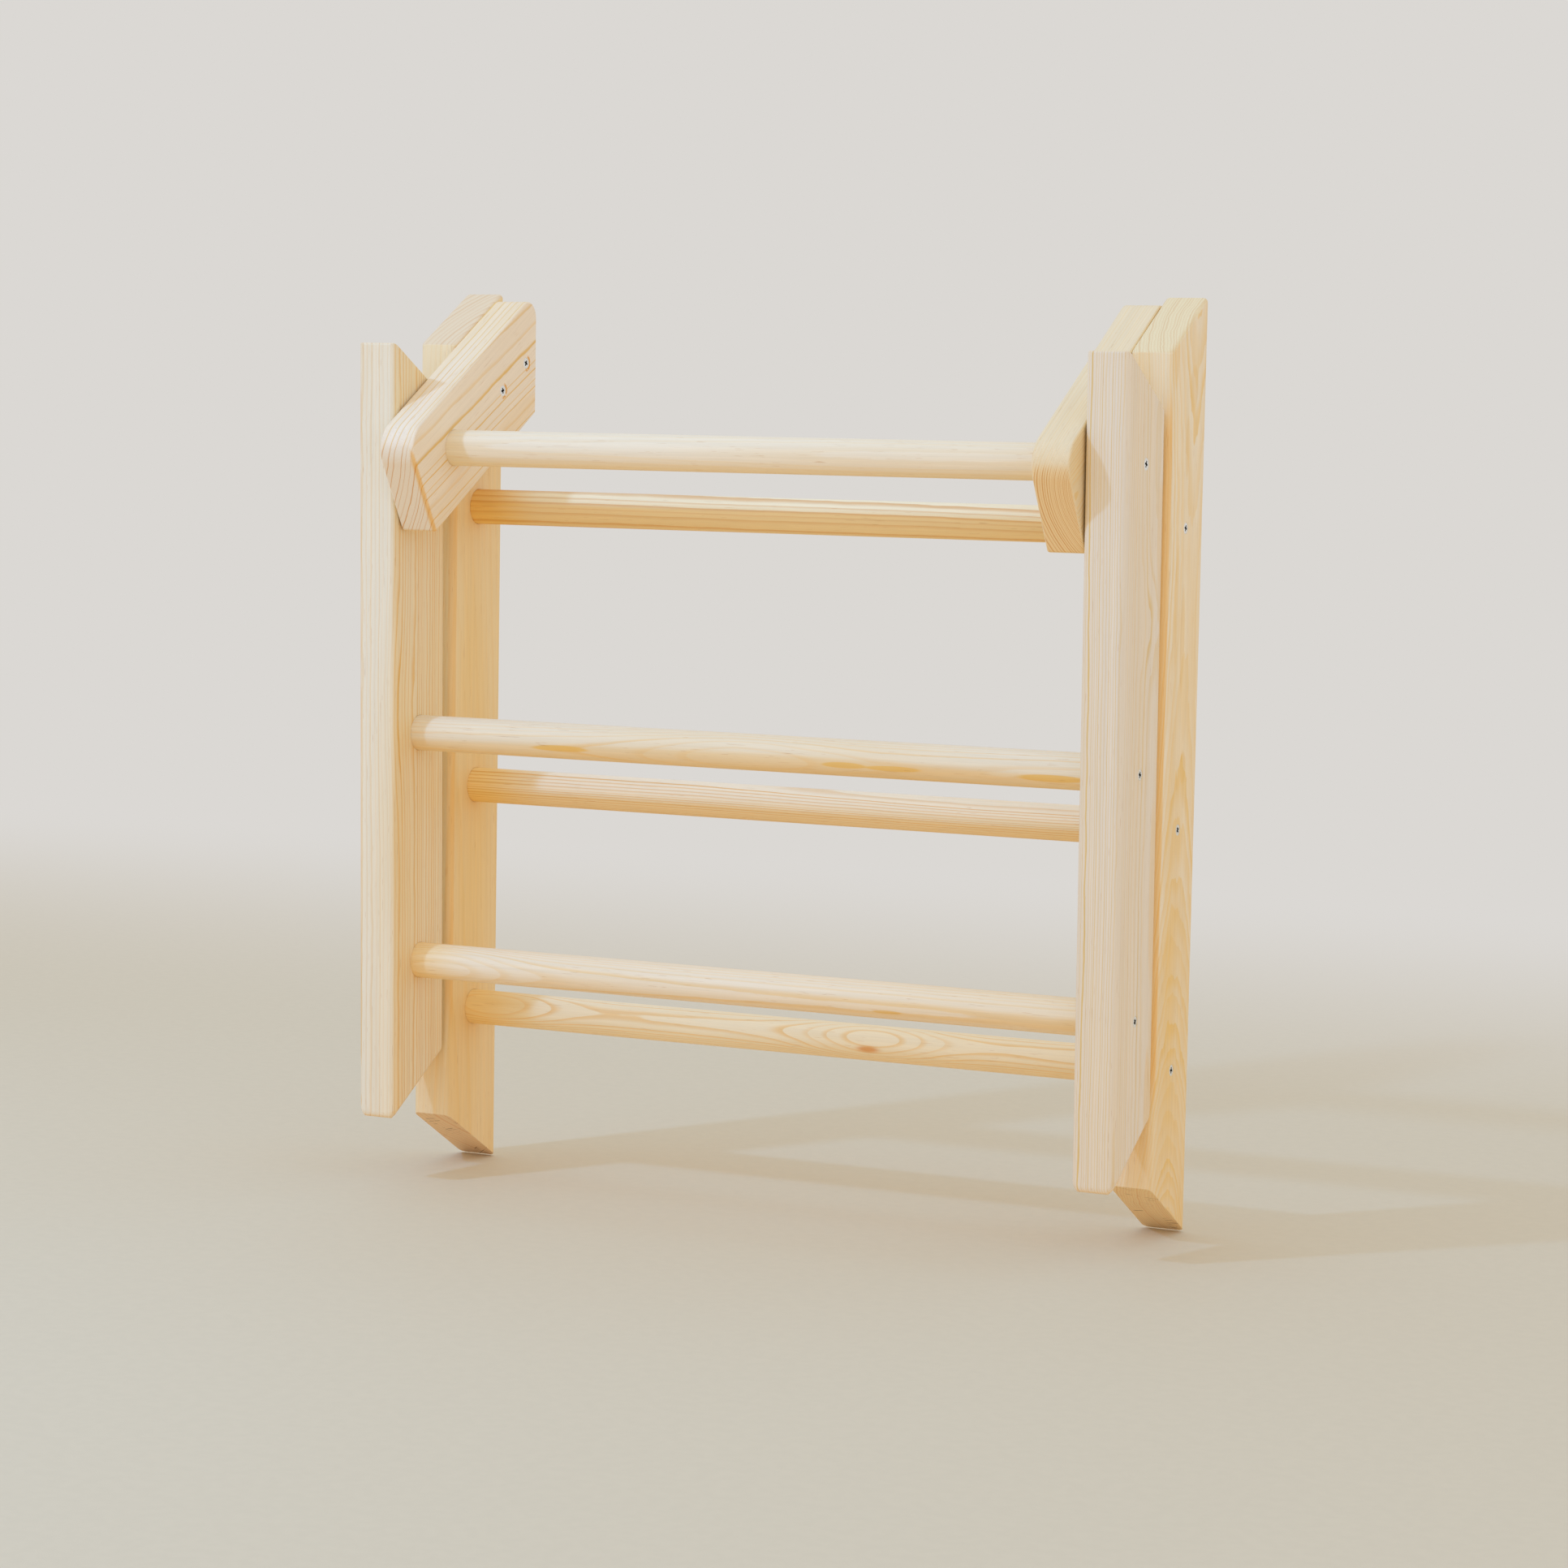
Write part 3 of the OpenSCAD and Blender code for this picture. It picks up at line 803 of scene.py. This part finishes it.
WOODS = {
    "rear_upright_left": dict(
        pith=(0.103, -0.061), tilt=(0.05, 0.01), ring=5.5, seed=1.3,
        contrast=0.18, honey=0.4, wide_face_shading=0.55, end=srgb(230, 212, 190),
        checks=0.9, half=UPRIGHT_HALF, arrises=gap_arris(0.4, 0.12),
    ),
    "rear_upright_right": dict(
        pith=(0.102, -0.004), tilt=(0.17, 0.025), sweep=(-0.15, 0.0), ring=2.6, ripple=4.0,
        seed=2.7, contrast=0.55, narrow=0.6, dark_from=0.15, heart_r=0.121, heart=0.4, honey=0.6,
        sap=srgb(238, 228, 214), late=srgb(236, 196, 110), end=srgb(235, 222, 194),
        figures=[
            ((FACE, 0.008, 0.41), 0.006, 0.012, 0.35),
            ((FACE, -0.002, 0.52), 0.0045, 0.04, 0.3),
            ((FACE, -0.018, 0.55), 0.004, 0.05, 0.3),
            ((FACE, -0.001, 0.685), 0.004, 0.024, 0.3),
            ((FACE, 0.012, 0.735), 0.009, 0.016, 0.3),
            ((FACE, -0.033, 0.77), 0.006, 0.03, 0.3),
        ],
        checks=0.9, half=UPRIGHT_HALF, arrises=gap_arris(0.65, 0.11),
    ),
    "front_upright_left": dict(
        pith=(-0.05, -0.078), tilt=(-0.008, 0.01), ring=3.4, ripple=2.4, seed=4.1,
        contrast=0.9, narrow=0.35, dark_from=0.5, wide_face_shading=0.32,
        sap=srgb(233, 228, 220), late=srgb(226, 180, 106),
        swells=[((FACE, -0.035, -0.23), 0.012, 0.05, 1.2)], half=UPRIGHT_HALF,
    ),
    "front_upright_right": dict(
        pith=(-0.1, 0.03), tilt=(0.004, 0.003), ring=2.0, ripple=2.6, seed=5.9,
        contrast=0.6, narrow=1.5, dark_from=0.5, honey=0.15,
        sap=srgb(230, 223, 219), late=srgb(224, 193, 128),
        swells=[((FACE, 0.014, -0.13), 0.014, 0.03, 1.4)],
        figures=[
            ((FACE, 0.031, -0.54), 0.006, 0.04, 0.3),
            ((FACE, 0.034, -0.36), 0.006, 0.07, 0.25),
            ((FACE, 0.036, -0.06), 0.006, 0.04, 0.25),
        ],
        half=UPRIGHT_HALF,
    ),
    "link_board_left": dict(
        pith=(-0.228, -0.103), tilt=(0.02, 0.01), ring=5.0, crowding=4.5, wander=3.0, seed=7.7,
        contrast=0.75, dark_from=0.74, honey=0.5, wide_face_shading=-0.3,
        sap=srgb(238, 227, 219), late=srgb(228, 184, 92), end=srgb(230, 219, 207),
        end_contrast=0.8, end_from=(0.7, 0.95),
        figures=[((LINK_FACE, 0.036, 0.1), 0.01, 0.05, 0.2)],
        screw_crescents=LINK_SCREWS, half=LINK_HALF,
        arrises=[("Z", -LINK_NOSE, LINK_FACE, 4.5 * MM, 0.75, (-1, 1))],
    ),
    "link_board_right": dict(
        pith=(0.088, -0.003), tilt=(0.01, 0.01), ring=1.7, crowding=-1.5, wander=3.0, seed=8.3,
        contrast=0.4, narrow=0.5, sap=srgb(234, 219, 196), end=srgb(236, 211, 170),
        end_contrast=0.8, end_from=(0.8, 0.98), screw_crescents=LINK_SCREWS, half=LINK_HALF,
    ),
    "top_rung": dict(
        pith=(0.0104, 0.059), ring=3.4, seed=9.2, contrast=0.2, honey=0.1, sap=srgb(237, 228, 217),
    ),
    "rear_rung_upper": dict(
        # Heartwood on the underside: painted shade where the top rung's shadow falls, partly the
        # rung's own heartwood
        pith=(0.06, 0.0), ring=5.0, seed=10.4, contrast=0.5, heart_r=0.065, heart=0.6, honey=0.1,
        sap=PALE, late=srgb(212, 148, 60), end_shade=srgb(242, 198, 102), shaded_ends=[(-0.31, -0.255, 0.7)],
    ),
    "rear_rung_middle": dict(
        pith=(0.07, 0.01), ring=2.3, seed=11.6, contrast=0.75, dark_from=0.5,
        # Heartwood on the underside: painted shade where the front rung's shadow falls
        heart_r=0.072, heart=0.45, honey=0.1,
        sap=srgb(243, 237, 230), late=srgb(222, 170, 88), shaded_ends=[(-0.32, -0.24, 0.7)],
    ),
    "rear_rung_lower": dict(
        pith=(0.0244, 0.0548), ring=2.4, wander=2.0, seed=12.8, contrast=0.6, dark_from=0.55,
        sap=PALE, late=srgb(234, 188, 104), shaded_ends=[(-0.32, -0.24, 0.6)],
        swells=[((0, 0, 0.088), 0.06, 0.045, 4.0), ((0, 0, -0.3), 0.06, 0.045, 3.0)],
        knots=[((0.0036, -0.0156, 0.085), 0.0024, 0.8)],
    ),
    "front_rung_upper": dict(
        pith=(-0.0195, 0.0567), tilt=(0.01, 0.015), ring=3.0, wander=2.0, seed=13.1,
        contrast=0.4, dark_from=0.6, sap=srgb(235, 228, 219), late=srgb(234, 188, 108),
        swells=[((0, 0, 0.0), 0.06, 0.07, 2.4)],
        figures=[
            ((0.0125, -0.01, 0.0), 0.012, 0.4, 0.3),
            ((0.0052, -0.0151, -0.176), 0.0026, 0.024, 0.75),
            ((0.0052, -0.0151, 0.102), 0.0024, 0.017, 0.7),
            ((0.0058, -0.0149, 0.148), 0.0022, 0.021, 0.7),
            ((0.0058, -0.0149, 0.294), 0.003, 0.026, 0.75),
        ],
    ),
    "front_rung_lower": dict(
        pith=(-0.02, 0.056), ring=3.0, seed=14.9, contrast=0.38, sap=srgb(239, 230, 220),
        swells=[((0, 0, -0.3), 0.06, 0.05, 3.0)],
        figures=[((0.008, -0.0139, 0.145), 0.0016, 0.012, 0.6)], shaded_ends=[(-0.34, -0.26, 0.5)],
    ),
}


# ---------------------------------------------------------------- the object


def dressed(obj, node, mats, body):
    """Puts a finished piece in a node's stead, on its body and with its materials."""
    for mat in mats:
        obj.data.materials.append(mat)
    smoothed(obj)
    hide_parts(node)
    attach(obj, body)


def rear_low(y):
    return slanted(UPRIGHT_W / 2 - y, END_CUT, 0)


def rear_high(y):
    return REAR_TIP_Z - slanted(UPRIGHT_W / 2 - y, END_CUT, REAR_TIP_R)


def front_low(y):
    return FRONT_FOOT_Z + slanted(y + UPRIGHT_W / 2, END_CUT, FOOT_TIP_R)


def front_high(y):
    """The slanted top, and behind the point nearest the hinge a circle about the hinge."""
    if y > STOP_R * math.sin(END_CUT):
        return math.sqrt(STOP_R**2 - y**2)
    return FRONT_TIP_Z - slanted(y + UPRIGHT_W / 2, END_CUT, FRONT_TIP_R)


def seats(place, inner, outer, back, drops, side):
    """The cutters for a frame's rung sockets and rung screws in one upright."""
    cutters = []
    for drop in drops:
        socket = place @ aimed((side * inner, back, -drop), (side, 0, 0))
        hole = place @ aimed((side * outer, back, -drop), (-side, 0, 0))
        cutters += [socket_cutter(socket), screw_cutter(RUNG_SCREW, hole)]
    return cutters


def link_screw_places(side):
    slope = REAR_PLACE @ Matrix.Rotation(LINK_SLOPE, 4, "X")
    return [slope @ aimed((side * LINK_IN, along, 0), (side, 0, 0)) for along in LINK_SCREWS]


def make_board(name, board, place, cutters, body):
    for cutter in cutters:
        drilled(board, cutter)
    dressed(board, name, [pine(name + "_pine", place, **WOODS[name])], body)


def make_uprights():
    for hand, side in SIDES.items():
        name = "rear_upright_" + hand
        place = Matrix.Translation((side * (REAR_IN + UPRIGHT_T / 2), HINGE.y + REAR_MID, 0))
        cutters = seats(REAR_PLACE, REAR_IN, REAR_OUT, REAR_MID, REAR_DROPS, side)
        cutters += [screw_cutter(LINK_SCREW, spot) for spot in link_screw_places(side)]
        board = upright(name + "_board", rear_low, rear_high, place, high_ease=TOP_EASE)
        make_board(name, board, place, cutters, "rear_frame")

        name = "front_upright_" + hand
        place = FRONT_PLACE @ Matrix.Translation((side * (FRONT_IN + UPRIGHT_T / 2), 0, 0))
        cutters = seats(FRONT_PLACE, FRONT_IN, FRONT_OUT, 0, FRONT_DROPS, side)
        hole = FRONT_PLACE @ aimed((side * FRONT_OUT, 0, 0), (-side, 0, 0))
        cutters.append(screw_cutter(HINGE_SCREW, hole))
        board = upright(name + "_board", front_low, front_high, place, low_ease=FOOT_EASE)
        make_board(name, board, place, cutters, "front_frame")


def make_link_boards():
    bore_r = HINGE_SCREW["shank"] + SCREW_PLAY
    bore = [(0, -CUT), (bore_r, -CUT), (bore_r, LINK_T), (0, LINK_T)]
    for hand, side in SIDES.items():
        name = "link_board_" + hand
        place = REAR_PLACE @ Matrix.Translation((side * (LINK_IN + LINK_T / 2), 0, 0)) @ ALONG_LINK
        cutters = [screw_cutter(LINK_SCREW, spot) for spot in link_screw_places(side)]
        cutters.append(socket_cutter(REAR_PLACE @ aimed((side * LINK_IN, 0, 0), (side, 0, 0))))
        through = REAR_PLACE @ aimed((side * REAR_IN, 0, 0), (-side, 0, 0))
        cutters.append(lathe("bore", bore, through, HOLE_SIDES))
        make_board(name, link_board(name + "_board", place), place, cutters, "rear_frame")


def make_rung(name, place, back, drop, half, size, bite, body):
    spot = place @ Matrix.Translation((0, back, -drop)) @ Matrix.Rotation(math.pi / 2, 4, "Y")
    stick = rung(name + "_dowel", 2 * half, spot, bite, size["shank"] + SCREW_PLAY)
    dressed(stick, name, [pine(name + "_pine", spot, **WOODS[name])], body)


def make_rungs():
    bite = RUNG_SCREW["length"] - UPRIGHT_T + SOCKET_DEPTH + SCREW_PLAY
    hinge_bite = HINGE_SCREW["length"] - (FRONT_OUT - LINK_IN) + SOCKET_DEPTH + SCREW_PLAY
    half = LINK_IN + SOCKET_DEPTH
    make_rung("top_rung", REAR_PLACE, 0, 0, half, HINGE_SCREW, hinge_bite, "rear_frame")
    half = REAR_IN + SOCKET_DEPTH
    for name, drop in zip(("upper", "middle", "lower"), REAR_DROPS):
        name = "rear_rung_" + name
        make_rung(name, REAR_PLACE, REAR_MID, drop, half, RUNG_SCREW, bite, "rear_frame")
    half = FRONT_IN + SOCKET_DEPTH
    for name, drop in zip(("upper", "lower"), FRONT_DROPS):
        name = "front_rung_" + name
        make_rung(name, FRONT_PLACE, 0, drop, half, RUNG_SCREW, bite, "front_frame")


def make_metal():
    zinc = [steel("zinc_steel", ZINC, ZINC_ROUGH), steel("recess_steel", RECESS, RECESS_ROUGH)]
    sunk = Matrix.Translation((0, 0, SINK))
    for hand, side in SIDES.items():
        into = (-side, 0, 0)
        rear = [REAR_PLACE @ aimed((side * REAR_OUT, REAR_MID, -drop), into) for drop in REAR_DROPS]
        front = [FRONT_PLACE @ aimed((side * FRONT_OUT, 0, -drop), into) for drop in FRONT_DROPS]
        hinge = [REAR_PLACE @ aimed((side * FRONT_OUT, 0, 0), into)]
        for stem, size, body, places in (
            ("rear_rung_screws_", RUNG_SCREW, "rear_frame", rear),
            ("front_rung_screws_", RUNG_SCREW, "front_frame", front),
            ("link_board_screws_", LINK_SCREW, "rear_frame", link_screw_places(side)),
            ("hinge_screw_", HINGE_SCREW, "rear_frame", hinge),
        ):
            turns = [FIRST_TURN + NEXT_TURN * i for i in range(len(places))]
            screws = [screw(size, turn, spot @ sunk) for turn, spot in zip(turns, places)]
            dressed(joined(stem + hand + "_steel", screws), stem + hand, zinc, body)
        flat = REAR_PLACE @ aimed((side * REAR_IN, 0, 0), (side, 0, 0))
        name = "hinge_washer_" + hand
        dressed(washer(name + "_steel", flat), name, zinc[:1], "rear_frame")


# ---------------------------------------------------------------- studio


BACKDROP = srgb(219, 216, 212)
FLOOR, FLOOR_GLOW = srgb(211, 202, 189), srgb(238, 204, 156)
FLOOR_R, FLOOR_SIDES, FLOOR_AT = 6, 128, (0, 0.3, -0.0003)
FLOOR_GRAIN, FLOOR_RANGE, FLOOR_SHADE = (90, 90, 90), (0.3, 0.7), (0.99, 1.01)
FLOOR_ROUGH, FLOOR_SHEEN = 0.7, 0.2
FADE, RIM = (0.3, 2.2), (2.4, 5.2)  # where the floor fades out: behind the object, all round
SKY, SKY_LEVEL = srgb(255, 254, 244), 0.88

# Lamps: place, diameter, power, colour
KEY = ((-1.41, -1.92, 2.15), 0.16, 24.5, (0.28, 0.58, 1.0))
FILL = ((3.0, -2.4, 0.9), 2.0, 3, (1.0, 0.9, 0.75))
LAMP_TARGET = Vector((0, 0, 0.4))


def make_world():
    """A plain sky that lights the object, and the backdrop's colour where it is seen."""
    world = bpy.data.worlds.new("studio")
    bpy.context.scene.world = world
    world.use_nodes = True
    g = Graph(world.node_tree)
    rays = g.rays()
    mirrored = g.math("MAXIMUM", rays["Is Glossy Ray"], rays["Is Transmission Ray"])
    seen = g.math("MAXIMUM", rays["Is Camera Ray"], mirrored)
    sky = g.add("ShaderNodeBackground", inputs={"Color": SKY, "Strength": SKY_LEVEL})
    wall = g.add("ShaderNodeBackground", inputs={"Color": BACKDROP, "Strength": 1.0})
    both = g.add("ShaderNodeMixShader", inputs={0: seen, 1: sky, 2: wall})
    g.finish(both, "ShaderNodeOutputWorld")


def floor_paint():
    """A plain pale paint that fades into the backdrop away from the object."""
    mat, g = new_material("floor_paint")
    place, rays = g.coords()["Object"], g.rays()
    away = g.step(g.split(place)[1], *FADE)
    rim = g.step(g.length(place), *RIM)
    grain = g.step(g.noise(place, FLOOR_GRAIN, detail=3.0), *FLOOR_RANGE, *FLOOR_SHADE)
    colour = g.mix(rays["Is Diffuse Ray"], g.lit(FLOOR[:3], grain), FLOOR_GLOW)
    paint = g.surface(colour, FLOOR_ROUGH, sheen=FLOOR_SHEEN)
    glow = g.add("ShaderNodeEmission", inputs={"Color": BACKDROP, "Strength": 1.0})
    far = g.times(g.math("MAXIMUM", away, rim), rays["Is Camera Ray"])
    g.finish(g.add("ShaderNodeMixShader", inputs={0: far, 1: paint, 2: glow}))
    return mat


def make_floor():
    bpy.ops.mesh.primitive_circle_add(
        vertices=FLOOR_SIDES, radius=FLOOR_R, fill_type="NGON", location=FLOOR_AT
    )
    floor = bpy.context.object
    floor.name = "floor"
    floor.data.materials.append(floor_paint())


def make_lamp(name, place, size, power, colour):
    data = bpy.data.lights.new(name, "AREA")
    data.shape = "DISK"
    data.size = size
    data.energy = power
    data.color = colour
    obj = bpy.data.objects.new(name, data)
    obj.location = place
    obj.rotation_euler = (LAMP_TARGET - Vector(place)).to_track_quat("-Z", "Y").to_euler()
    bpy.context.scene.collection.objects.link(obj)


def make_camera():
    """The photograph's view: turned by YAW, tipped down by PITCH and rolled by ROLL."""
    flat = math.cos(PITCH)
    forward = Vector((-math.sin(YAW) * flat, math.cos(YAW) * flat, -math.sin(PITCH)))
    level = Vector((math.cos(YAW), math.sin(YAW), 0))
    down = forward.cross(level)
    right = math.cos(ROLL) * level + math.sin(ROLL) * down
    under = -math.sin(ROLL) * level + math.cos(ROLL) * down
    data = bpy.data.cameras.new("camera")
    data.sensor_width = SENSOR
    data.lens = FOCAL_PX / PHOTO_SIZE * SENSOR
    obj = bpy.data.objects.new("camera", data)
    turn = Matrix((right, -under, -forward)).transposed()
    obj.matrix_world = Matrix.Translation(CAMERA_AT) @ turn.to_4x4()
    bpy.context.scene.collection.objects.link(obj)
    bpy.context.scene.camera = obj


make_uprights()
make_link_boards()
make_rungs()
make_metal()
make_world()
make_floor()
make_lamp("key", *KEY)
make_lamp("fill", *FILL)
make_camera()
bpy.context.scene.view_settings.view_transform = "Standard"
